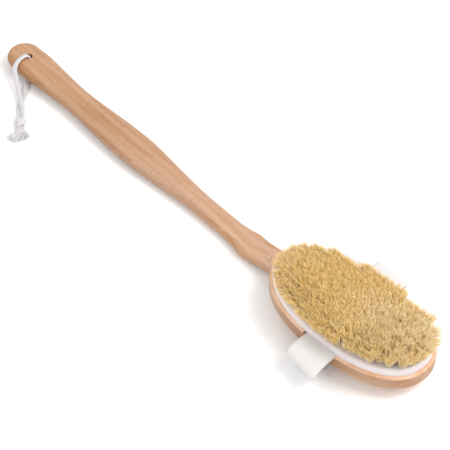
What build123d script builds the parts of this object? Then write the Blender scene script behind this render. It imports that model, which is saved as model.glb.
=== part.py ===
"""Long-handled body dry brush, lying on its back with the bristles up.

Millimetres, +Z up from the surface it lies on, +X from the handle towards the head's free end.
The origin is the centre of the brush's footprint, on that surface.
"""

import os
from math import cos, pi, radians, sin, tan

from build123d import *

os.makedirs("parts", exist_ok=True)

# Overall
overall_length = 419.0
head_length = 130.0
head_width = 71.2
outline_power = 2.22  # 2 is an ellipse, and a larger power is fuller at its corners

# Head, from the surface up
back_height = 9.0  # underside of the back board
board_thickness = 12.0
board_back_radius = 4.0
board_rim_radius = 2.0
plate_thickness = 5.0
plate_length = 125.0
plate_width = 67.0
plate_rim_radius = 2.6
bristle_length = 14.0  # free length above the plate

# Tufts
tuft_pitch = 5.0
tuft_root_radius = 1.45
tuft_tip_radius = 2.1
tuft_hole_radius = 1.6
tuft_hole_depth = 3.6
field_length = 116.0  # outline that holds the tuft centres
field_width = 56.4
row_count = 11
end_row_allowance = 1.5  # widens the outline, so that the two outermost rows still hold a few tufts

# Handle
handle_thickness = 9.0
handle_edge_radius = 3.9
handle_rise = 0.8  # degrees, the free end stands a little off the surface
shoulder_clearance = 0.06  # height of the shoulder's underside, the handle's lowest part
hanging_hole_radius = 2.6
hanging_hole_from_end = 18.0

# Dovetail between the handle and the back board
tongue_length = 48.0
tongue_depth = 5.0
tongue_top_half_width = 9.2
tongue_waist_half_width = 7.8
slide_gap = 0.2

# Hand strap
strap_width = 26.0
strap_thickness = 1.5
strap_reach = 51.5  # from the middle of the head to the outside of each fold
strap_skew = 9.5  # degrees, the strap crosses the head a little askew
strap_corner_radius = 3.0

# Hanging cord
cord_diameter = 2.6

# Places that follow from the sizes above
head_x = (overall_length - head_length) / 2
board_end_x = head_x - head_length / 2
board_top = back_height + board_thickness
plate_top = board_top + plate_thickness
hole_x = -overall_length / 2 + hanging_hole_from_end
rise = radians(handle_rise)
row_step = field_width / (row_count - 1)
strap_frame = Plane(origin=(head_x, 0, 0)).rotated((0, 0, strap_skew))  # its Y runs along the strap


def oval_points(length, width, count=72):
    """Points around a full oval (a superellipse) of the given length and width."""
    points = []
    for i in range(count):
        c, s = cos(2 * pi * i / count), sin(2 * pi * i / count)
        x = length / 2 * abs(c) ** (2 / outline_power) * (1 if c > 0 else -1)
        y = width / 2 * abs(s) ** (2 / outline_power) * (1 if s > 0 else -1)
        points.append((x, y))
    return points


def tuft_rows():
    """Tuft centres in straight rows along the head, one list for each row."""
    row_lists = []
    for j in range(row_count):
        y = (j - (row_count - 1) / 2) * row_step
        across = abs(2 * y) / (field_width + end_row_allowance)
        half = field_length / 2 * (1 - across**outline_power) ** (1 / outline_power)
        count = int(2 * half / tuft_pitch) + 1
        step = 2 * half / (count - 1)
        row_lists.append([(head_x - half + i * step, y) for i in range(count)])
    return row_lists


rows = tuft_rows()
tuft_centres = [centre for row in rows for centre in row]

# Strap staples: two at each end of the strap, driven through it into the board
staple_wire = 0.6
staple_crown = 8.0
staple_leg = 5.0
staple_top = board_top - 0.05
staple_leg_offset = (staple_crown - staple_wire) / 2
staple_places = [(x, side * 27.5) for x in (-6.5, 6.5) for side in (-1, 1)]

with BuildPart() as strap_staples:
    with BuildSketch(strap_frame.offset(staple_top)):
        with Locations(*staple_places):
            Rectangle(staple_crown, staple_wire)
    extrude(amount=-staple_wire)
    with BuildSketch(strap_frame.offset(staple_top - staple_wire)):
        with Locations(*staple_places):
            with Locations((-staple_leg_offset, 0), (staple_leg_offset, 0)):
                Rectangle(staple_wire, staple_wire)
    extrude(amount=-staple_leg)

# Back board: solid beech, with a dovetail groove in its back and a shallow seat for each strap end
seat_side_gap = 0.8
seat_middle_y = head_width / 2 - 3.0
seat_length = 23.0
groove_length = tongue_length + 1.5
pin_radius = 0.6
pin_hole_radius = pin_radius + 0.03
pin_depth = 6.8  # below the board's top
pin_recess = 0.4  # below the plate's top
end_pin_x = 52.0
end_pin_y = 2.5 * row_step  # midway between two rows of tufts
side_pin_x = 22.5
side_pin_y = 29.3
pin_places = [(head_x + x, y) for x in (-end_pin_x, end_pin_x) for y in (-end_pin_y, end_pin_y)]
pin_places += [(head_x + x, y) for x in (-side_pin_x, side_pin_x) for y in (-side_pin_y, side_pin_y)]

with BuildPart() as back_board:
    with BuildSketch(Plane.XY.offset(back_height)):
        with BuildLine():
            Spline(*[(head_x + x, y) for x, y in oval_points(head_length, head_width)], periodic=True)
        make_face()
    extrude(amount=board_thickness)
    fillet(back_board.edges().group_by(Axis.Z)[0], radius=board_back_radius)
    fillet(back_board.edges().group_by(Axis.Z)[-1], radius=board_rim_radius)
    with BuildSketch(Plane.YZ.offset(board_end_x - 1)):
        with BuildLine():
            Polyline(
                (-tongue_waist_half_width - slide_gap, back_height - 1),
                (-tongue_waist_half_width - slide_gap, back_height),
                (-tongue_top_half_width - slide_gap, back_height + tongue_depth),
                (tongue_top_half_width + slide_gap, back_height + tongue_depth),
                (tongue_waist_half_width + slide_gap, back_height),
                (tongue_waist_half_width + slide_gap, back_height - 1),
                close=True,
            )
        make_face()
    extrude(amount=groove_length + 1, mode=Mode.SUBTRACT)
    with BuildSketch(strap_frame.offset(board_top - strap_thickness)):
        with Locations((0, -seat_middle_y), (0, seat_middle_y)):
            Rectangle(strap_width + 2 * seat_side_gap, seat_length)
    extrude(amount=strap_thickness + 1, mode=Mode.SUBTRACT)
    with BuildSketch(Plane.XY.offset(board_top)):
        with Locations(*pin_places):
            Circle(pin_hole_radius)
    extrude(amount=-pin_depth - 0.2, mode=Mode.SUBTRACT)
    add(strap_staples.part, mode=Mode.SUBTRACT)

# Hand strap: cotton webbing held between plate and board. It stands out at both sides, folds back
# and runs slack under the head's back.
seat_level = board_top - strap_thickness / 2
floor_level = strap_thickness / 2
fold_corner = (strap_reach + 3.4, 16.5)  # where the fold's two sides would meet
strap_half_profile = [(22.0, seat_level), (43.0, seat_level), fold_corner, (34.0, floor_level)]
strap_edge_plane = Plane(
    origin=strap_frame.origin - strap_frame.x_dir * strap_width / 2,
    x_dir=strap_frame.y_dir,
    z_dir=strap_frame.x_dir,
)

with BuildPart() as hand_strap:
    with BuildSketch(strap_edge_plane):
        with BuildLine():
            FilletPolyline(
                *[(-y, z) for y, z in strap_half_profile],
                *reversed(strap_half_profile),
                radius=strap_corner_radius,
            )
        trace(line_width=strap_thickness)
    extrude(amount=strap_width)
    add(strap_staples.part, mode=Mode.SUBTRACT)

# Bristle plate: moulded, with a rounded rim and one blind hole for each tuft
with BuildPart() as bristle_plate:
    with BuildSketch(Plane.XY.offset(board_top)):
        with BuildLine():
            Spline(*[(head_x + x, y) for x, y in oval_points(plate_length, plate_width)], periodic=True)
        make_face()
    extrude(amount=plate_thickness)
    fillet(bristle_plate.edges().group_by(Axis.Z)[-1], radius=plate_rim_radius)
    with BuildSketch(Plane.XY.offset(plate_top)):
        with Locations(*tuft_centres):
            Circle(tuft_hole_radius)
    extrude(amount=-tuft_hole_depth, mode=Mode.SUBTRACT)
    with BuildSketch(Plane.XY.offset(board_top)):
        with Locations(*pin_places):
            Circle(pin_hole_radius)
    extrude(amount=plate_thickness, mode=Mode.SUBTRACT)

# Tufts: each bundle is folded over a flat wire at the bottom of its hole
anchor_thickness = 0.35
anchor_height = 1.6
anchor_gap = 0.05
tuft_foot = plate_top - tuft_hole_depth + 0.1
straight_root = 1.0  # height above the plate where the tuft starts to flare

with BuildPart() as one_tuft:
    with BuildSketch(Plane.XZ):
        with BuildLine():
            Polyline(
                (0, tuft_foot),
                (tuft_root_radius, tuft_foot),
                (tuft_root_radius, plate_top + straight_root),
                (tuft_tip_radius, plate_top + bristle_length),
                (0, plate_top + bristle_length),
                close=True,
            )
        make_face()
    revolve(axis=Axis.Z)
    with BuildSketch(Plane.XY.offset(tuft_foot)):
        Rectangle(2 * tuft_root_radius + 1, anchor_thickness + 2 * anchor_gap)
    extrude(amount=anchor_height + anchor_gap, mode=Mode.SUBTRACT)

bristle_rows = []
for row in rows:
    with BuildPart() as bristle_row:
        with Locations(*row):
            add(one_tuft.part)
    bristle_rows.append(bristle_row.part)

with BuildPart() as tuft_anchors:
    with BuildSketch(Plane.XY.offset(tuft_foot)):
        with Locations(*tuft_centres):
            Rectangle(2 * tuft_root_radius, anchor_thickness)
    extrude(amount=anchor_height)

# Pins that hold the plate on the board, set below the plate's surface
with BuildPart() as plate_pins:
    with BuildSketch(Plane.XY.offset(board_top - pin_depth)):
        with Locations(*pin_places):
            Circle(pin_radius)
    extrude(amount=pin_depth + plate_thickness - pin_recess)

# Handle: sawn from one piece of beech. Stations are measured along it from the head's end.
shoulder = 30.0
shoulder_half_width = 10.6
neck_stations = [(21.0, 10.0, 0.9), (11.0, 9.5, 3.2), (0.5, 9.3, 4.6)]  # and the underside's height
end_half_width = 12.6
handle_reach = overall_length - head_length
end_centre = handle_reach - end_half_width
half_widths = [
    (36.5, 9.5),
    (46.0, 8.1),
    (62.0, 7.8),
    (83.0, 7.95),
    (103.0, 9.3),
    (122.5, 11.0),
    (138.0, 12.45),
    (150.0, 12.9),
    (167.0, 12.5),
    (187.5, 11.35),
    (205.0, 10.2),
    (218.0, 10.0),
    (234.0, 10.8),
    (250.0, 12.1),
    (265.0, 12.9),
]
handle_plane = Plane(
    origin=(board_end_x, 0, shoulder_clearance - shoulder * tan(rise)),
    x_dir=(-cos(rise), 0, sin(rise)),
    z_dir=(sin(rise), 0, cos(rise)),
)

with BuildPart() as handle:
    # The flat stick from the shoulder to the round end
    with BuildSketch(handle_plane):
        with BuildLine():
            side = Spline(
                (shoulder, shoulder_half_width),
                *half_widths,
                (end_centre, end_half_width),
                tangents=[(1, 0), (1, 0)],
            )
            ThreePointArc((end_centre, end_half_width), (handle_reach, 0), (end_centre, -end_half_width))
            mirror(side, about=Plane.XZ)
            Line((shoulder, -shoulder_half_width), (shoulder, shoulder_half_width))
        make_face()
    extrude(amount=handle_thickness)
    start_face = handle.faces().sort_by(Axis.X)[-1]
    rims = handle.edges().filter_by(lambda e: abs(e.tangent_at(0.5).Z) < 0.2) - start_face.edges()
    fillet(rims, radius=handle_edge_radius)
    # The hanging hole
    with Locations(handle_plane.offset(handle_thickness)):
        with Locations((handle_reach - hanging_hole_from_end, 0)):
            Hole(hanging_hole_radius, depth=handle_thickness + 1)
    # The neck that sweeps up from the shoulder to the board
    shoulder_plane = Plane(
        origin=handle_plane.from_local_coords((shoulder, 0, handle_thickness / 2)),
        x_dir=(0, 1, 0),
        z_dir=handle_plane.x_dir,
    )
    with BuildSketch(shoulder_plane):
        RectangleRounded(2 * shoulder_half_width, handle_thickness, handle_edge_radius)
    for distance, half_width, lift in neck_stations:
        with BuildSketch(
            Plane(
                origin=(board_end_x - distance, 0, lift + handle_thickness / 2),
                x_dir=(0, 1, 0),
                z_dir=(-1, 0, 0),
            )
        ):
            RectangleRounded(2 * half_width, handle_thickness, handle_edge_radius)
    loft()
    # The dovetail tongue, with a pad under it that rests below the board's back
    tongue_top = back_height + tongue_depth - slide_gap
    with BuildSketch(Plane.YZ.offset(board_end_x - 0.6)):
        with BuildLine():
            Polyline(
                (-tongue_waist_half_width, back_height - slide_gap - 0.5),
                (-tongue_waist_half_width, back_height),
                (-tongue_top_half_width, tongue_top),
                (tongue_top_half_width, tongue_top),
                (tongue_waist_half_width, back_height),
                (tongue_waist_half_width, back_height - slide_gap - 0.5),
                close=True,
            )
        make_face()
    extrude(amount=tongue_length + 0.6)
    # The pad below the groove, thinning towards its end
    with BuildSketch(Plane.XZ):
        with BuildLine():
            Polyline(
                (board_end_x - 0.5, 4.9),
                (board_end_x + 14.0, 5.3),
                (board_end_x + tongue_length - 4.0, 7.9),
                (board_end_x + tongue_length - 4.0, back_height - slide_gap),
                (board_end_x - 0.5, back_height - slide_gap),
                close=True,
            )
        make_face()
    extrude(amount=tongue_top_half_width, both=True)

# Hanging cord: through the hole, over the near edge and under the stick, to one knot
cord_low = cord_diameter / 2 + 0.1
cord_route = [
    (hole_x, 0, 8.3),
    (hole_x, 0, 15.1),
    (hole_x - 0.2, -8.5, 15.0),
    (hole_x + 3.5, -16.2, 12.2),
    (hole_x + 8.0, -18.8, 6.8),
    (hole_x + 14.5, -21.5, 4.5),
    (hole_x + 22.5, -26.5, 4.4),
    (hole_x + 30.5, -33.0, 1.7),
    (hole_x + 38.0, -38.6, 2.0),
    (hole_x + 43.5, -41.2, 2.7),
    (hole_x + 43.8, -45.0, 2.7),
    (hole_x + 38.4, -44.2, 2.0),
    (hole_x + 29.0, -36.6, cord_low),
    (hole_x + 19.5, -28.0, cord_low),
    (hole_x + 15.8, -18.5, cord_low),
    (hole_x + 9.5, -8.5, cord_low),
    (hole_x, 0, cord_low),
    (hole_x, 0, 7.7),
]
knot_centre = (hole_x + 41.0, -42.0)
knot_size = (11.0, 9.5, 5.6)
tail_ends = {"cord_tail_left": (hole_x + 50.0, -57.0), "cord_tail_right": (hole_x + 55.5, -46.5)}


def run_lengths(route):
    """The straight distance from each point of the route to the next."""
    return [(Vector(*b) - Vector(*a)).length for a, b in zip(route, route[1:])]


def bend_radii(route):
    """The largest arc each corner has room for: 0.45 of its shorter run over the tangent of half its turn."""
    runs = run_lengths(route)
    radii = []
    for i in range(1, len(route) - 1):
        before = Vector(*route[i]) - Vector(*route[i - 1])
        after = Vector(*route[i + 1]) - Vector(*route[i])
        half_turn = radians(before.get_angle(after)) / 2
        radii.append(0.45 * min(runs[i - 1], runs[i]) / tan(half_turn))
    return radii


cord_radii = bend_radii(cord_route)
with BuildPart() as hanging_cord:
    with BuildLine() as cord_path:
        FilletPolyline(*cord_route, radius=cord_radii)
    with BuildSketch(Plane(origin=cord_path.line @ 0, z_dir=cord_path.line % 0)):
        Circle(cord_diameter / 2)
    sweep()

with BuildPart() as cord_knot:
    with BuildSketch(Plane.XY.offset(0.05)):
        with Locations(Location((*knot_centre, 0), (0, 0, -40))):
            Ellipse(knot_size[0] / 2, knot_size[1] / 2)
    extrude(amount=knot_size[2])
    fillet(cord_knot.edges(), radius=2.2)

cord_tails = {}
for label, (end_x, end_y) in tail_ends.items():
    start = Vector(*knot_centre, cord_low)
    towards = Vector(end_x, end_y, cord_low) - start
    with BuildPart() as tail:
        with BuildSketch(Plane(origin=start, z_dir=towards)):
            Circle(cord_diameter / 2)
        extrude(amount=towards.length)
        add(cord_knot.part, mode=Mode.SUBTRACT)
    cord_tails[label] = tail.part

# Write the pieces
pieces = {
    "handle": handle.part,
    "back_board": back_board.part,
    "bristle_plate": bristle_plate.part,
    "tuft_anchors": tuft_anchors.part,
    "plate_pins": plate_pins.part,
    "hand_strap": hand_strap.part,
    "strap_staples": strap_staples.part,
    "hanging_cord": hanging_cord.part,
    "cord_knot": cord_knot.part,
}
pieces.update(cord_tails)
for i, row_part in enumerate(bristle_rows):
    pieces[f"bristle_row_{i + 1:02d}"] = row_part

for label, piece in pieces.items():
    piece.label = label
    export_step(piece, f"parts/{label}.step")

cord_length = sum(edge.length for edge in cord_path.edges())
print("tufts", len(tuft_centres), "in rows", len(rows))
print("cord length", round(cord_length, 1), "radii", [round(r, 1) for r in cord_radii])
print("cord volume over section times length", hanging_cord.part.volume / (pi * cord_diameter**2 / 4 * cord_length))
whole = Compound(children=list(pieces.values())).bounding_box()
print("whole box", whole.min, whole.max)
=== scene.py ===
"""Looks of the long-handled body dry brush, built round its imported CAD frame, in metres."""

from math import ceil, cos, pi, radians, sin
from random import Random

import bmesh
import bpy
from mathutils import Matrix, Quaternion, Vector


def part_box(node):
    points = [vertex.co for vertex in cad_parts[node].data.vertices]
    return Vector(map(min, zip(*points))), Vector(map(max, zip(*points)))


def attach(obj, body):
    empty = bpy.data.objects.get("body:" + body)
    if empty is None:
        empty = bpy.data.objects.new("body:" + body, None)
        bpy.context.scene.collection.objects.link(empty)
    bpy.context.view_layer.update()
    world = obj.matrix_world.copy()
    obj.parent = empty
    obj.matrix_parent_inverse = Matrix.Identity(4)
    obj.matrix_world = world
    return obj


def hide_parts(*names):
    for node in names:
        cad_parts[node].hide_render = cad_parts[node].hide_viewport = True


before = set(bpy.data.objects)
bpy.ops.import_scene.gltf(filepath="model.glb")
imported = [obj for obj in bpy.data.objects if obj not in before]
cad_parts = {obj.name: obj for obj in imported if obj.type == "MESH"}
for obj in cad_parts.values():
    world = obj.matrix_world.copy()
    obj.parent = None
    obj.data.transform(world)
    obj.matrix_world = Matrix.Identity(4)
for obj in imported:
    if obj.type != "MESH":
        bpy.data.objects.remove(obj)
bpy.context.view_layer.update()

MM = 0.001
scene = bpy.context.scene

# Places in the frame
board_low, board_high = (Vector(corner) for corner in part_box("back_board"))
HEAD_X = (board_low.x + board_high.x) / 2
PLATE_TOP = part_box("bristle_plate")[1][2]
HOLE_FROM_END = 18 * MM
HOLE_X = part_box("handle")[0][0] + HOLE_FROM_END


# ---------------------------------------------------------------- Camera, light and floor


def make_camera():
    """Looks down along the brush from the head's near side."""
    azimuth, elevation, distance = radians(48.25), radians(47.21), 1.285
    target = Vector((0.0336, -0.0093, 0.0193))
    back = Vector((sin(azimuth) * cos(elevation), -cos(azimuth) * cos(elevation), sin(elevation)))
    data = bpy.data.cameras.new("camera")
    data.sensor_width = 36.0
    data.lens = 154.53
    camera = bpy.data.objects.new("camera", data)
    camera.location = target + back * distance
    camera.rotation_mode = "QUATERNION"
    camera.rotation_quaternion = (-back).to_track_quat("-Z", "Y")
    scene.collection.objects.link(camera)
    scene.camera = camera


def make_light(name, place, size, power):
    """A square soft box that faces the middle of the brush."""
    data = bpy.data.lights.new(name, "AREA")
    data.shape = "SQUARE"
    data.size = size
    data.energy = power
    light = bpy.data.objects.new(name, data)
    light.location = place
    light.rotation_mode = "QUATERNION"
    light.rotation_quaternion = (Vector((0.03, 0, 0)) - Vector(place)).to_track_quat("-Z", "Y")
    scene.collection.objects.link(light)


def make_world(strength):
    """Even white light from all round."""
    world = bpy.data.worlds.new("studio")
    world.use_nodes = True
    background = world.node_tree.nodes["Background"]
    background.inputs["Color"].default_value = (1.0, 1.0, 1.0, 1.0)
    background.inputs["Strength"].default_value = strength
    scene.world = world


# ---------------------------------------------------------------- Node helpers


def node(tree, kind, inputs=None, **settings):
    """Adds a shader node. A socket given as an input is linked, and anything else is its value."""
    made = tree.nodes.new(kind)
    for key, value in settings.items():
        setattr(made, key, value)
    for key, value in (inputs or {}).items():
        if isinstance(value, bpy.types.NodeSocket):
            tree.links.new(value, made.inputs[key])
        else:
            made.inputs[key].default_value = value
    return made


def start_material(name, **sockets):
    """A new material, its node tree and its Principled shader, with the shader's even values set."""
    material = bpy.data.materials.new(name)
    material.use_nodes = True
    tree = material.node_tree
    shader = tree.nodes["Principled BSDF"]
    for key, value in sockets.items():
        shader.inputs[key.replace("_", " ")].default_value = value
    return material, tree, shader


def object_place(tree, stretch):
    """The point on the object in metres, scaled by stretch along each axis."""
    place = node(tree, "ShaderNodeTexCoord").outputs["Object"]
    return node(tree, "ShaderNodeMapping", {"Vector": place, "Scale": stretch}).outputs["Vector"]


def noise_value(tree, stretch, detail=3.0, rough=0.5, distortion=0.0):
    """Noise of the given cycles per metre along each axis."""
    made = node(
        tree,
        "ShaderNodeTexNoise",
        {
            "Vector": object_place(tree, stretch),
            "Scale": 1.0,
            "Detail": detail,
            "Roughness": rough,
            "Distortion": distortion,
        },
    )
    return made.outputs["Fac"]


def ramp(tree, factor, *stops):
    """Colours or greys along a factor. Each stop is (place, grey) or (place, (r, g, b))."""
    made = node(tree, "ShaderNodeValToRGB", {"Fac": factor})
    elements = made.color_ramp.elements
    while len(elements) < len(stops):
        elements.new(0.5)
    for element, (place, colour) in zip(elements, stops):
        element.position = place
        rgb = colour if isinstance(colour, tuple) else (colour,) * 3
        element.color = (*rgb, 1.0)
    return made.outputs["Color"]


def mix(tree, factor, first, second, blend="MIX"):
    """Mixes two colours, each a socket or an (r, g, b)."""
    made = tree.nodes.new("ShaderNodeMix")
    made.data_type = "RGBA"
    made.blend_type = blend
    for index, value in ((0, factor), (6, first), (7, second)):
        if isinstance(value, bpy.types.NodeSocket):
            tree.links.new(value, made.inputs[index])
        else:
            made.inputs[index].default_value = (*value, 1.0) if isinstance(value, tuple) else value
    return made.outputs[2]


def maths(tree, operation, first, second):
    """A Math node on two values or sockets."""
    made = node(tree, "ShaderNodeMath", {0: first, 1: second}, operation=operation)
    return made.outputs["Value"]


def bump(tree, shader, height, depth, strength=1.0):
    """Raises the surface by up to depth where height is 1."""
    made = node(tree, "ShaderNodeBump", {"Height": height, "Distance": depth, "Strength": strength})
    tree.links.new(made.outputs["Normal"], shader.inputs["Normal"])


# ---------------------------------------------------------------- Materials


def beech(name, ring_shift, free_end, head_end, painted_side_shade):
    """Sanded beech, grain along X, with growth lines, orange-brown streaks and short dark flecks, and
    painted shade on its upright side faces.
    """
    material, tree, shader = start_material(name, Coat_Weight=0.06, Coat_Roughness=0.35)
    shader.inputs["IOR"].default_value = 1.45
    place = node(tree, "ShaderNodeTexCoord").outputs["Object"]
    shifted = node(
        tree, "ShaderNodeMapping", {"Vector": place, "Location": ring_shift, "Scale": (0.10, 1.0, 1.0)}
    )
    rings = node(
        tree,
        "ShaderNodeTexWave",
        {
            "Vector": shifted.outputs["Vector"],
            "Scale": 62.0,
            "Distortion": 3.2,
            "Detail": 2.0,
            "Detail Scale": 0.35,
            "Detail Roughness": 0.6,
        },
        wave_type="RINGS",
        rings_direction="X",
        wave_profile="SAW",
    ).outputs["Fac"]
    streaks = noise_value(tree, (9.0, 120.0, 120.0), detail=4.0, rough=0.55, distortion=0.6)
    patches = noise_value(tree, (14.0, 45.0, 45.0), detail=2.0)
    fibres = noise_value(tree, (60.0, 1500.0, 1500.0), detail=3.0, rough=0.6)
    flecks = noise_value(tree, (330.0, 2600.0, 2600.0), detail=1.0)
    along = node(tree, "ShaderNodeSeparateXYZ", {"Vector": place}).outputs["X"]
    towards_head = node(
        tree,
        "ShaderNodeMapRange",
        {"Value": along, "From Min": -0.21, "From Max": 0.08},
        interpolation_type="SMOOTHSTEP",
    ).outputs["Result"]
    colour = mix(tree, towards_head, free_end, head_end)
    normal = node(tree, "ShaderNodeNewGeometry").outputs["Normal"]
    upright = node(tree, "ShaderNodeSeparateXYZ", {"Vector": normal}).outputs["Z"]
    # Painted shade: upright side faces are darkened as if less light falls on them than on the top.
    side = ramp(tree, maths(tree, "ABSOLUTE", upright, 0.0), (0.20, painted_side_shade), (0.85, 0.0))
    for factor, tint in (
        (ramp(tree, streaks, (0.46, 0.0), (0.62, 1.0)), (0.90, 0.78, 0.60)),
        (ramp(tree, patches, (0.45, 0.0), (0.68, 0.9)), (1.18, 1.24, 1.30)),
        (ramp(tree, rings, (0.0, 0.0), (0.80, 0.35), (1.0, 0.8)), (0.84, 0.74, 0.62)),
        (ramp(tree, fibres, (0.42, 0.0), (0.72, 0.7)), (1.14, 1.19, 1.25)),
        (ramp(tree, flecks, (0.63, 0.0), (0.70, 0.8)), (0.60, 0.52, 0.45)),
        # painted shade on the upright side faces
        (side, (0.43, 0.38, 0.32)),
    ):
        colour = mix(tree, factor, colour, tint, blend="MULTIPLY")
    tree.links.new(colour, shader.inputs["Base Color"])
    tree.links.new(ramp(tree, fibres, (0.3, 0.40), (0.7, 0.58)), shader.inputs["Roughness"])
    relief = maths(tree, "SUBTRACT", fibres, maths(tree, "MULTIPLY", flecks, 0.6))
    bump(tree, shader, relief, 0.00012, 0.5)
    return material


def moulded_white():
    """White moulded plastic, a little pink and lilac, with a faint uneven gloss."""
    material, tree, shader = start_material("plate_white", Coat_Weight=0.12, Coat_Roughness=0.2)
    shader.inputs["Subsurface Weight"].default_value = 0.12
    shader.inputs["Subsurface Radius"].default_value = (0.002, 0.0014, 0.0012)
    tone = noise_value(tree, (35.0, 35.0, 35.0), detail=2.0)
    skin = noise_value(tree, (900.0, 900.0, 900.0), detail=2.0)
    colour = ramp(tree, tone, (0.35, (0.63, 0.575, 0.585)), (0.68, (0.69, 0.635, 0.625)))
    tree.links.new(colour, shader.inputs["Base Color"])
    tree.links.new(ramp(tree, skin, (0.35, 0.30), (0.65, 0.40)), shader.inputs["Roughness"])
    bump(tree, shader, skin, 0.00004, 0.35)
    return material


def bristle_fibre():
    """Dry golden fibre, paler at its root and at its cut tip, each hair its own shade. The pale root is
    partly the fibre's own colour and partly painted light that lifts the shade low down between the hairs.
    """
    material, tree, shader = start_material("bristle_fibre", Roughness=0.55)
    shader.inputs["Specular IOR Level"].default_value = 0.30
    place = node(tree, "ShaderNodeTexCoord").outputs["Object"]
    height = node(
        tree,
        "ShaderNodeMapRange",
        {
            "Value": node(tree, "ShaderNodeSeparateXYZ", {"Vector": place}).outputs["Z"],
            "From Min": PLATE_TOP,
            "From Max": PLATE_TOP + MIDDLE_RISE,
        },
    ).outputs["Result"]
    shade = node(tree, "ShaderNodeAttribute", attribute_name="shade").outputs["Fac"]
    # The root's pale colour is partly the fibre's own and partly painted light, against the shade deep
    # between the hairs.
    body = ramp(
        tree,
        height,
        (0.0, (0.92, 0.80, 0.66)),
        (0.22, (0.95, 0.77, 0.50)),
        (0.60, (0.96, 0.72, 0.31)),
        (0.90, (0.96, 0.735, 0.34)),
        (1.0, (0.92, 0.79, 0.53)),
    )
    darker = mix(tree, ramp(tree, shade, (0.0, 0.48), (0.42, 0.0)), body, (0.74, 0.48, 0.17))
    paler = mix(tree, ramp(tree, shade, (0.55, 0.0), (1.0, 0.60)), darker, (0.97, 0.84, 0.55))
    mottle = noise_value(tree, (220.0, 220.0, 220.0), detail=2.0)
    colour = mix(tree, ramp(tree, mottle, (0.45, 0.0), (0.75, 0.12)), paler, (0.84, 0.56, 0.21))
    tree.links.new(colour, shader.inputs["Base Color"])
    return material


def woven_white(name, pitch, depth, tint):
    """White cotton weave that follows the piece's UV map, which is in metres."""
    material, tree, shader = start_material(name, Roughness=0.85)
    shader.inputs["Sheen Weight"].default_value = 0.25
    shader.inputs["Sheen Roughness"].default_value = 0.5
    uv = node(tree, "ShaderNodeUVMap", uv_map="weave").outputs["UV"]
    waves = []
    for direction in ("X", "Y"):
        wave = node(
            tree,
            "ShaderNodeTexWave",
            {"Vector": uv, "Scale": pi / 10 / pitch, "Distortion": 0.6, "Detail": 1.0},
            wave_type="BANDS",
            bands_direction=direction,
        )
        waves.append(wave.outputs["Fac"])
    crossing = maths(tree, "ADD", maths(tree, "MULTIPLY", waves[1], 0.45), 0.55)
    threads = maths(tree, "MULTIPLY", waves[0], crossing)
    fuzz = noise_value(tree, (2400.0, 2400.0, 2400.0), detail=3.0)
    soil = noise_value(tree, (60.0, 60.0, 60.0), detail=2.0)
    shadowed = tuple(0.80 * value for value in tint)
    soiled = tuple(0.90 * value for value in tint)
    colour = mix(tree, ramp(tree, threads, (0.05, 1.0), (0.45, 0.0)), tint, shadowed)
    colour = mix(tree, ramp(tree, soil, (0.50, 0.0), (0.80, 0.35)), colour, soiled)
    tree.links.new(colour, shader.inputs["Base Color"])
    height = maths(tree, "ADD", threads, maths(tree, "MULTIPLY", fuzz, 0.5))
    bump(tree, shader, height, depth, 0.7)
    return material


def loose_cotton():
    """Cotton of the tails: the fringe is paler than the woven body, as the fray attribute says. The fringe's
    paler colour is painted light, which lifts the shade that its fine threads cast on each other.
    """
    material, tree, shader = start_material("cord_fringe", Roughness=0.9)
    shader.inputs["Sheen Weight"].default_value = 0.25
    tone = noise_value(tree, (500.0, 500.0, 500.0), detail=3.0)
    # Painted light: the fringe's threads are given a paler colour than the body, against the shade they cast
    # on each other.
    loose = ramp(tree, tone, (0.35, (0.65, 0.63, 0.65)), (0.65, (0.77, 0.75, 0.765)))
    woven = ramp(tree, tone, (0.35, (0.49, 0.472, 0.485)), (0.65, (0.57, 0.55, 0.562)))
    fray = node(tree, "ShaderNodeAttribute", attribute_name="fray").outputs["Fac"]
    tree.links.new(mix(tree, fray, woven, loose), shader.inputs["Base Color"])
    bump(tree, shader, noise_value(tree, (2600.0, 2600.0, 2600.0), detail=2.0), 0.00006, 0.5)
    return material


def drawn_steel():
    """Bright drawn wire with fine lengthwise lines."""
    material, tree, shader = start_material("wire_steel", Metallic=1.0)
    lines = noise_value(tree, (300.0, 6000.0, 6000.0), detail=2.0)
    colour = ramp(tree, lines, (0.3, (0.50, 0.50, 0.51)), (0.7, (0.68, 0.68, 0.69)))
    tree.links.new(colour, shader.inputs["Base Color"])
    tree.links.new(ramp(tree, lines, (0.3, 0.24), (0.7, 0.40)), shader.inputs["Roughness"])
    bump(tree, shader, lines, 0.00002, 0.4)
    return material


def paint(obj, material):
    """Gives every slot of the object the material."""
    if not obj.material_slots:
        obj.data.materials.append(material)
    for one in obj.material_slots:
        one.material = material


# ---------------------------------------------------------------- Mesh helpers


def new_object(name, mesh_maker):
    """A smooth-shaded mesh object filled in by mesh_maker, which is given an empty bmesh."""
    made = bmesh.new()
    mesh_maker(made)
    mesh = bpy.data.meshes.new(name)
    made.to_mesh(mesh)
    made.free()
    mesh.shade_smooth()
    obj = bpy.data.objects.new(name, mesh)
    scene.collection.objects.link(obj)
    return obj


def nurbs_line(name, points):
    """The smooth line of a NURBS spline that has the given control points."""
    data = bpy.data.curves.new(name, "CURVE")
    data.dimensions = "3D"
    data.resolution_u = 16
    spline = data.splines.new("NURBS")
    spline.points.add(len(points) - 1)
    for control, place in zip(spline.points, points):
        control.co = (*place, 1.0)
    spline.order_u = 3
    spline.use_endpoint_u = True
    holder = bpy.data.objects.new(name, data)
    scene.collection.objects.link(holder)
    line = [vertex.co.copy() for vertex in bpy.data.meshes.new_from_object(holder).vertices]
    bpy.data.objects.remove(holder)
    return line


def line_length(line):
    """Length of a line of points."""
    return sum((b - a).length for a, b in zip(line, line[1:]))


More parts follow.
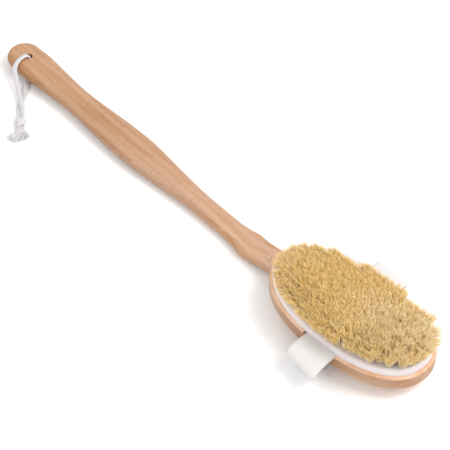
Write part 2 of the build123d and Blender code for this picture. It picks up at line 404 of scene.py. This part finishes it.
def spaced(line, step):
    """The same line as points an even step apart."""
    count = max(2, ceil(line_length(line) / step))
    even = line_length(line) / count
    points, gone, target = [line[0].copy()], 0.0, even
    for a, b in zip(line, line[1:]):
        run = (b - a).length
        while run > 0 and target <= gone + run + 1e-9 and len(points) < count:
            points.append(a.lerp(b, (target - gone) / run))
            target += even
        gone += run
    points.append(line[-1].copy())
    return points


def directions(line):
    """The direction of travel at each point of a line."""
    last = len(line) - 1
    return [(line[min(i + 1, last)] - line[max(i - 1, 0)]).normalized() for i in range(last + 1)]


def carried(line, normal):
    """A normal at each point, carried along the line without twist."""
    ways = directions(line)
    normals = [(normal - normal.dot(ways[0]) * ways[0]).normalized()]
    for a, b in zip(ways, ways[1:]):
        turned = a.rotation_difference(b) @ normals[-1]
        normals.append((turned - turned.dot(b) * b).normalized())
    return normals


def flat_section(half_width, half_thickness, sides):
    """A rounded flat outline, as (across, up) pairs."""
    outline = []
    for i in range(sides):
        c, s = cos(2 * pi * i / sides), sin(2 * pi * i / sides)
        fuller = abs(s) ** 0.8 * (1 if s > 0 else -1)
        outline.append((half_width * c, half_thickness * fuller))
    return outline


def weave_layer(made):
    """The UV layer that the woven materials follow."""
    return made.loops.layers.uv.get("weave") or made.loops.layers.uv.new("weave")


def ribbon(made, line, normals, section_at):
    """Sweeps a flat section along a line. section_at gives the outline at a fraction of the way."""
    ways = directions(line)
    uv = weave_layer(made)
    rings, gone = [], [0.0]
    for a, b in zip(line, line[1:]):
        gone.append(gone[-1] + (b - a).length)
    for i, (place, way, up) in enumerate(zip(line, ways, normals)):
        across = way.cross(up).normalized()
        outline = section_at(i / (len(line) - 1))
        rings.append([made.verts.new(place + across * x + up * z) for x, z in outline])
    sides = len(rings[0])
    for i, (ring, after) in enumerate(zip(rings, rings[1:])):
        for j in range(sides):
            k = (j + 1) % sides
            face = made.faces.new((ring[j], ring[k], after[k], after[j]))
            u0, u1 = outline[j][0], outline[k][0]
            corners = ((u0, gone[i]), (u1, gone[i]), (u1, gone[i + 1]), (u0, gone[i + 1]))
            for loop, corner in zip(face.loops, corners):
                loop[uv].uv = corner
    made.faces.new(list(reversed(rings[0])))
    made.faces.new(rings[-1])


# ---------------------------------------------------------------- Hanging cord

CORD_WIDTH = 4.2 * MM
CORD_HALF_THICKNESS = 0.95 * MM
THREADS = 170  # in each tail's fringe
CORD_ROUTE = [
    (0, 0, 8.3),
    (0, 0, 14.6),
    (-0.9, -7.8, 14.3),
    (2.2, -15.4, 12.4),
    (6.0, -17.8, 7.2),
    (13.0, -21.0, 4.0),
    (21.2, -25.9, 4.2),
    (30.2, -30.6, 4.4),
    (37.4, -35.4, 3.4),
    (43.6, -40.4, 2.9),
    (44.4, -44.6, 2.7),
    (40.2, -42.8, 1.9),
    (36.0, -37.0, 1.5),
    (29.6, -33.0, 1.4),
    (24.8, -27.4, 1.4),
    (20.0, -20.6, 1.4),
    (11.0, -11.4, 1.4),
    (0, 0, 1.4),
    (0, 0, 7.7),
]
KNOT = Vector((HOLE_X + 42.4 * MM, -41.2 * MM, 2.5 * MM))
# Each tail's neck, where it starts to fray, and the middle of its fringe's end
TAILS = {
    "cord_tail_left": ((48.2, -48.6), (51.0, -57.0)),
    "cord_tail_right": ((49.8, -46.2), (56.6, -49.0)),
}


def rest_on_floor(made):
    """Flattens the soft piece where it would go through the floor."""
    for vertex in made.verts:
        vertex.co.z = max(vertex.co.z, 0.1 * MM)


def make_cord(material):
    """The loop: out of the hole's top, to the knot and back under the handle to the hole."""
    points = [(HOLE_X + x * MM, y * MM, z * MM) for x, y, z in CORD_ROUTE]
    line = spaced(nurbs_line("cord_line", points), 0.8 * MM)
    normals = carried(line, Vector((0, 1, 0)))
    turned = []
    for i, (way, normal) in enumerate(zip(directions(line), normals)):
        twist = 0.22 * sin(5.2 * pi * i / (len(line) - 1))
        turned.append(Quaternion(way, twist) @ normal)

    def section_at(share):
        pinch = 1 - 0.10 * sin(23 * share) ** 2
        return flat_section(CORD_WIDTH / 2 * pinch, CORD_HALF_THICKNESS, 14)

    def braid(made):
        ribbon(made, line, turned, section_at)
        rest_on_floor(made)

    cord = new_object("hanging_cord_braid", braid)
    paint(cord, material)
    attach(cord, "handle")
    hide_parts("hanging_cord")
    return cord, line


def make_knot(material):
    """The knot, as three turns of the cord drawn together and crossing each other."""

    def wraps(made):
        along = Vector((0.74, -0.67, 0)).normalized()
        side = along.cross(Vector((0, 0, 1)))
        for shift, tilt, radius in ((-1.5, 0.50, 1.75), (0.2, -0.45, 1.95), (1.9, 0.25, 1.7)):
            axis = Quaternion(Vector((0, 0, 1)), tilt) @ along
            first = axis.cross(Vector((0, 0, 1))).normalized()
            centre = KNOT + along * shift * MM
            turns = []
            for i in range(33):
                angle = 2 * pi * i / 32
                wobble = 1 + 0.06 * sin(3 * angle + shift)
                ring = first * cos(angle) * 1.45 * wobble + Vector((0, 0, 1)) * sin(angle) * 0.92
                turns.append(centre + ring * radius * MM * 1.05 + axis * (0.5 * sin(angle)) * MM)
            outward = [(place - centre - (place - centre).dot(axis) * axis).normalized() for place in turns]
            ribbon(made, turns, outward, lambda share: flat_section(1.5 * MM, 0.55 * MM, 12))
        rest_on_floor(made)

    knot = new_object("cord_knot_wraps", wraps)
    paint(knot, material)
    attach(knot, "handle")
    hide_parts("cord_knot")
    return knot


def make_tail(label, material, seed):
    """A loose end of the cord, which opens into a flat fringe of fine threads."""
    chance = Random(seed)
    neck, end = (Vector((HOLE_X + x * MM, y * MM, 1.5 * MM)) for x, y in TAILS[label])
    start = KNOT + Vector((0, 0, -0.6 * MM))
    way = (end - neck).normalized()
    side = way.cross(Vector((0, 0, 1))).normalized()
    reach = (end - neck).length

    def body_section(share):
        return flat_section((1.9 + 0.3 * share) * MM, (0.9 - 0.4 * share) * MM, 12)

    def tail(made):
        fray_layer = made.verts.layers.float.new("fray")
        route = [start, start.lerp(neck, 0.6), neck, neck + way * 1.2 * MM]
        line = spaced(nurbs_line(label, route), 0.7 * MM)
        ribbon(made, line, carried(line, Vector((0, 0, 1))), body_section)
        woven = len(made.verts)
        for _ in range(THREADS):
            across = chance.uniform(-1, 1)
            lift = chance.uniform(0.1, 1.0)
            root = neck - way * chance.uniform(0.3, 1.6) * MM + side * across * 1.9 * MM
            root.z = (0.4 + 1.1 * lift) * MM
            far = chance.uniform(0.45, 1.10) * reach * (1 - 0.22 * across * across)
            tip = neck + way * far + side * (across * 4.4 + chance.uniform(-1.0, 1.0)) * MM
            tip.z = max(0.3, 1.7 * lift + chance.uniform(-0.6, 0.6)) * MM
            middle = root.lerp(tip, 0.5) + side * chance.uniform(-1.0, 1.0) * MM + Vector((0, 0, 0.4 * MM))
            thread = spaced(nurbs_line("thread", [root, middle, tip]), 1.3 * MM)
            outline = flat_section(0.12 * MM, 0.12 * MM, 5)
            ribbon(made, thread, carried(thread, Vector((0, 0, 1))), lambda share: outline)
        for position, vertex in enumerate(made.verts):
            vertex[fray_layer] = float(position >= woven)
        rest_on_floor(made)

    piece = new_object(label + "_frayed", tail)
    paint(piece, material)
    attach(piece, "handle")
    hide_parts(label)
    return piece


# ---------------------------------------------------------------- Hand strap

STRAP_THICKNESS = 1.3 * MM
# Each station across the strap, from the near end to the far one, in millimetres from the head's
# middle: x and y of its -X edge, x and y of its +X edge, and the height of its middle.
STRAP_STATIONS = [
    (-6.2, -22.0, 19.3, -22.0, 20.25),
    (-6.2, -30.0, 19.4, -30.0, 20.25),
    (-6.3, -36.0, 19.6, -36.0, 20.2),
    (-6.6, -41.5, 20.0, -42.5, 19.9),
    (-7.0, -46.5, 20.6, -48.5, 18.9),
    (-7.2, -50.0, 21.0, -53.2, 16.9),
    (-7.6, -50.2, 20.7, -53.6, 14.4),
    (-10.4, -46.2, 16.6, -48.6, 10.2),
    (-13.4, -39.8, 12.8, -41.3, 4.6),
    (-14.6, -33.2, 11.6, -34.0, 1.1),
    (-15.0, -22.0, 11.2, -23.0, 0.68),
    (-18.5, 6.0, 7.6, 4.5, 0.68),
    (-22.4, 27.0, 3.8, 26.0, 0.75),
    (-23.4, 35.0, 2.8, 34.6, 3.6),
    (-23.0, 41.5, 3.2, 41.6, 9.6),
    (-21.8, 46.4, 4.8, 45.6, 14.2),
    (-20.4, 46.6, 7.0, 45.6, 17.0),
    (-19.8, 42.6, 7.2, 42.0, 19.4),
    (-19.2, 36.5, 7.0, 36.5, 20.2),
    (-18.8, 30.0, 6.8, 30.0, 20.25),
    (-18.6, 22.0, 6.8, 22.0, 20.25),
]


def make_strap(material):
    """Cotton webbing from under one side of the plate, round the head's back, to the other side."""
    columns = 14
    left = [(HEAD_X + x * MM, y * MM, z * MM) for x, y, _, _, z in STRAP_STATIONS]
    right = [(HEAD_X + x * MM, y * MM, z * MM) for _, _, x, y, z in STRAP_STATIONS]
    left, right = (nurbs_line("strap_edge", side) for side in (left, right))
    rows = len(left)
    grid = [[a.lerp(b, j / columns) for j in range(columns + 1)] for a, b in zip(left, right)]
    for row in grid:
        for place in row:
            place.z = max(place.z, STRAP_THICKNESS / 2)

    def normal_at(i, j):
        along = grid[min(i + 1, rows - 1)][j] - grid[max(i - 1, 0)][j]
        across = grid[i][min(j + 1, columns)] - grid[i][max(j - 1, 0)]
        return across.cross(along).normalized()

    gone = [0.0]
    for a, b in zip(grid, grid[1:]):
        gone.append(gone[-1] + (b[columns // 2] - a[columns // 2]).length)
    width = (grid[0][-1] - grid[0][0]).length

    def strap(made):
        uv = weave_layer(made)
        skins = []
        for sign in (1, -1):
            skin = []
            for i in range(rows):
                line = []
                for j in range(columns + 1):
                    edge = 0.45 if j in (0, columns) else 0.5
                    line.append(made.verts.new(grid[i][j] + normal_at(i, j) * sign * edge * STRAP_THICKNESS))
                skin.append(line)
            skins.append(skin)

        def quad(corners, places):
            face = made.faces.new(corners)
            for loop, (u, v) in zip(face.loops, places):
                loop[uv].uv = (u, v)

        for sign, skin in zip((1, -1), skins):
            for i in range(rows - 1):
                for j in range(columns):
                    corners = [skin[i][j], skin[i][j + 1], skin[i + 1][j + 1], skin[i + 1][j]]
                    u0, u1 = width * j / columns, width * (j + 1) / columns
                    places = [(u0, gone[i]), (u1, gone[i]), (u1, gone[i + 1]), (u0, gone[i + 1])]
                    if sign < 0:
                        corners.reverse()
                        places.reverse()
                    quad(corners, places)
        top, under = skins
        for j in (0, columns):
            for i in range(rows - 1):
                corners = [top[i][j], top[i + 1][j], under[i + 1][j], under[i][j]]
                u = width * j / columns
                places = [(u, gone[i]), (u, gone[i + 1]), (u + MM, gone[i + 1]), (u + MM, gone[i])]
                if j == columns:
                    corners.reverse()
                    places.reverse()
                quad(corners, places)
        for i in (0, rows - 1):
            for j in range(columns):
                corners = [top[i][j], under[i][j], under[i][j + 1], top[i][j + 1]]
                u0, u1 = width * j / columns, width * (j + 1) / columns
                places = [(u0, gone[i]), (u0, gone[i]), (u1, gone[i]), (u1, gone[i])]
                if i:
                    corners.reverse()
                    places.reverse()
                quad(corners, places)
        bmesh.ops.recalc_face_normals(made, faces=made.faces)

    piece = new_object("hand_strap_webbing", strap)
    paint(piece, material)
    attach(piece, "head")
    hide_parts("hand_strap")
    return piece, gone[-1]


# ---------------------------------------------------------------- Bristles

HAIRS_PER_TUFT = 190
CLUMPS_PER_TUFT = 9
HAIR_RADIUS = 0.115 * MM
TUFT_ROOT_RADIUS = 1.4 * MM
HAIR_FOOT = PLATE_TOP - 2.5 * MM
FIELD_HALF_LENGTH = 58.0 * MM
FIELD_HALF_WIDTH = 28.2 * MM
FIELD_POWER = 2.22
ROW_STEP = 5.64 * MM
TUFT_FLARE = 2.1 * MM  # radius of a tuft's tip in CAD
FIELD_EDGE = 29.7 * MM  # half width of the smooth outline that the near side's tips fill out to
EDGE_FILL = 1.05  # share of the way to that outline
MIDDLE_RISE = 11.5 * MM  # of the tips above the plate, at the middle of the head
RIM_RISE = 9.3 * MM
END_REACH = 4.4 * MM  # how far outwards the tips lie at the head's free end
HANDLE_END_REACH = 2.0 * MM  # at its handle end
NEAR_REACH = 2.3 * MM  # and at its two sides
FAR_REACH = 1.0 * MM
LEAN = 2.1 * MM  # of the tips towards the near side, along the head's middle
CORNER_REACH = Vector((3.0, 2.0, 0)) * MM  # extra splay where the free end meets the far side
CORNER_RISE = 1.2 * MM
TIP_SLOPE = 0.055  # the tips are trimmed a little lower towards the handle
TIP_SPREAD = 2.7  # a hair's distance from its tuft's middle, at its tip over that at its root
TIP_SCATTER = 0.85  # millimetres, as are the next three
TIP_DROP = 1.6
HAIR_BOW = 0.14
TALLEST_CLUMP = 0.7
LONG_HAIRS = 0.04  # share of hairs that stand above the rest
CLUMPING = 0.10  # how far a tip is drawn to its clump
FIRST_SEED = 40


def tuft_centres(label):
    """The middle of each tuft of a row, from the separate solids of its CAD node."""
    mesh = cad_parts[label].data
    low, high = (Vector(corner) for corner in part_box(label))
    places = sorted({round(vertex.co.x, 5) for vertex in mesh.vertices if vertex.co.z > high.z - MM})
    groups = []
    for x in places:
        if not groups or x - groups[-1][-1] > 0.5 * MM:
            groups.append([])
        groups[-1].append(x)
    return [(group[0] + TUFT_FLARE, (low.y + high.y) / 2) for group in groups]


def tuft_rise_and_reach(root):
    """How high the tips of a tuft stand above the plate, and how far they lie from their root.

    They splay outwards at the rim, and lean over to the near side, most at the far side. On the near
    side the rows spread to fill a smooth outline, because whole rows alone would leave steps in it.
    """
    u, v = (root.x - HEAD_X) / FIELD_HALF_LENGTH, root.y / FIELD_HALF_WIDTH
    share = min(1.0, abs(u) ** FIELD_POWER + abs(v) ** FIELD_POWER)
    rise = MIDDLE_RISE + (RIM_RISE - MIDDLE_RISE) * share + TIP_SLOPE * (root.x - HEAD_X)
    pressed = LEAN * (1 + 0.8 * v) * (1 - 0.7 * max(u, 0))
    endways = (END_REACH * (1 + 0.9 * min(v, 0)) if u > 0 else HANDLE_END_REACH) * u * abs(u)
    sideways = (NEAR_REACH * (1 - 0.5 * u) if v < 0 else FAR_REACH) * v * abs(v) ** 0.5
    edge = FIELD_EDGE * max(0.0, 1 - abs(u) ** FIELD_POWER) ** (1 / FIELD_POWER)
    outer = max(ROW_STEP, edge // ROW_STEP * ROW_STEP)
    if v < 0:
        sideways += EDGE_FILL * min(edge - outer, ROW_STEP) * root.y / outer
    corner = 2 * max(u, 0) * max(v, 0)
    reach = Vector((endways + 1.0 * MM, sideways - pressed, 0)) + CORNER_REACH * corner
    return rise + CORNER_RISE * corner, reach


def tuft_clumps(chance):
    """Where the tips of a tuft gather: each clump's offset, its extra height and its shade."""
    clumps = []
    for _ in range(CLUMPS_PER_TUFT):
        angle, away = chance.uniform(0, 2 * pi), 2.9 * MM * chance.random() ** 0.5
        offset = Vector((cos(angle), sin(angle), 0)) * away
        clumps.append((offset, chance.gauss(0, 0.4) * MM, chance.gauss(0, 0.10)))
    return clumps


def hair_points(chance, root, rise, reach, clumps):
    """Four points of one hair, from its foot in the hole to its cut tip, and its clump's shade."""
    angle, away = chance.uniform(0, 2 * pi), TUFT_ROOT_RADIUS * chance.random() ** 0.5
    out = Vector((cos(angle), sin(angle), 0)) * away
    start = root + out
    start.z = HAIR_FOOT
    own = out * TIP_SPREAD + Vector((chance.gauss(0, TIP_SCATTER), chance.gauss(0, TIP_SCATTER), 0)) * MM
    offset, taller, shade = min(clumps, key=lambda clump: (clump[0] - own).length)
    top = rise + min(taller, TALLEST_CLUMP * MM) - abs(chance.gauss(0, TIP_DROP)) * MM
    if chance.random() < LONG_HAIRS:
        top += chance.uniform(0.2, 1.3) * MM
    tip = root + own.lerp(offset, CLUMPING) + reach * chance.uniform(0.85, 1.15)
    tip.z = PLATE_TOP + max(top, 2.0 * MM)
    bow = Vector((chance.gauss(0, HAIR_BOW), chance.gauss(0, HAIR_BOW), 0)) * MM
    points = []
    for share in (0.0, 0.40, 0.74, 1.0):
        place = start.lerp(tip, share)
        place.x = start.x + (tip.x - start.x) * share**1.2
        place.y = start.y + (tip.y - start.y) * share**1.2
        points.append(place + bow * sin(pi * share))
    return points, shade


def hair_blade(made, shade_layer, points, shade, turn):
    """A thin three-sided blade through the points, which tapers to its tip."""
    rings = []
    for place, thin in zip(points, (1.0, 1.0, 0.95, 0.70)):
        ring = []
        for k in range(3):
            angle = turn + 2 * pi * k / 3
            vertex = made.verts.new(place + Vector((cos(angle), sin(angle), 0)) * HAIR_RADIUS * thin)
            vertex[shade_layer] = shade
            ring.append(vertex)
        rings.append(ring)
    for ring, after in zip(rings, rings[1:]):
        for k in range(3):
            m = (k + 1) % 3
            made.faces.new((ring[k], ring[m], after[m], after[k]))
    made.faces.new(list(reversed(rings[0])))
    made.faces.new(rings[-1])


def make_bristle_row(label, seed, material):
    """All the hairs of one row of tufts."""
    chance = Random(seed)

    def hairs(made):
        shade_layer = made.verts.layers.float.new("shade")
        for x, y in tuft_centres(label):
            root = Vector((x, y, 0))
            rise, reach = tuft_rise_and_reach(root)
            reach += Vector((chance.gauss(0, 0.35), chance.gauss(0, 0.35), 0)) * MM
            clumps = tuft_clumps(chance)
            tuft_shade = chance.gauss(0, 0.05) + 0.12 * (abs(y) / FIELD_HALF_WIDTH) ** 3
            for _ in range(HAIRS_PER_TUFT):
                points, clump_shade = hair_points(chance, root, rise, reach, clumps)
                shade = 0.5 + tuft_shade + clump_shade + chance.gauss(0, 0.16)
                shade = min(1.0, max(0.0, shade))
                hair_blade(made, shade_layer, points, shade, chance.uniform(0, 2 * pi))

    row = new_object(label.replace("bristle_row", "bristle_hairs"), hairs)
    paint(row, material)
    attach(row, "head")
    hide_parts(label)


# ---------------------------------------------------------------- Making it all

make_camera()

cord_cotton = woven_white("cord_cotton", 0.75 * MM, 0.00018, (0.66, 0.64, 0.66))
cord, cord_path = make_cord(cord_cotton)
knot = make_knot(cord_cotton)
cord_fringe = loose_cotton()
tails = [make_tail(label, cord_fringe, seed) for seed, label in enumerate(TAILS, 5)]

strap, strap_length = make_strap(woven_white("strap_cotton", 0.9 * MM, 0.00012, (0.69, 0.668, 0.66)))

fibre = bristle_fibre()
for row in range(1, 12):
    make_bristle_row(f"bristle_row_{row:02d}", FIRST_SEED + row, fibre)

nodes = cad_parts
handle_beech = beech(
    "handle_beech",
    ring_shift=(0.03, 0.055, -0.045),
    free_end=(0.425, 0.238, 0.134),
    head_end=(0.495, 0.308, 0.205),
    painted_side_shade=0.25,
)
board_beech = beech(
    "board_beech",
    ring_shift=(0.10, -0.010, 0.120),
    free_end=(0.66, 0.42, 0.28),
    head_end=(0.71, 0.455, 0.31),
    painted_side_shade=0.8,
)
paint(nodes["handle"], handle_beech)
paint(nodes["back_board"], board_beech)
paint(nodes["bristle_plate"], moulded_white())
steel = drawn_steel()
for label in ("tuft_anchors", "plate_pins", "strap_staples"):
    paint(nodes[label], steel)

floor_material, floor_tree, floor_shader = start_material("floor_white", Roughness=0.9)
floor_shader.inputs["Base Color"].default_value = (0.93, 0.93, 0.93, 1.0)
floor = new_object("floor", lambda made: bmesh.ops.create_grid(made, x_segments=1, y_segments=1, size=3.0))
floor.location.z = -0.0002
paint(floor, floor_material)

make_world(0.9)
make_light("key", (0.75, 0.55, 1.25), 0.9, 16.0)
make_light("front_fill", (0.35, -1.1, 0.85), 1.2, 4.5)
scene.view_settings.view_transform = "Standard"
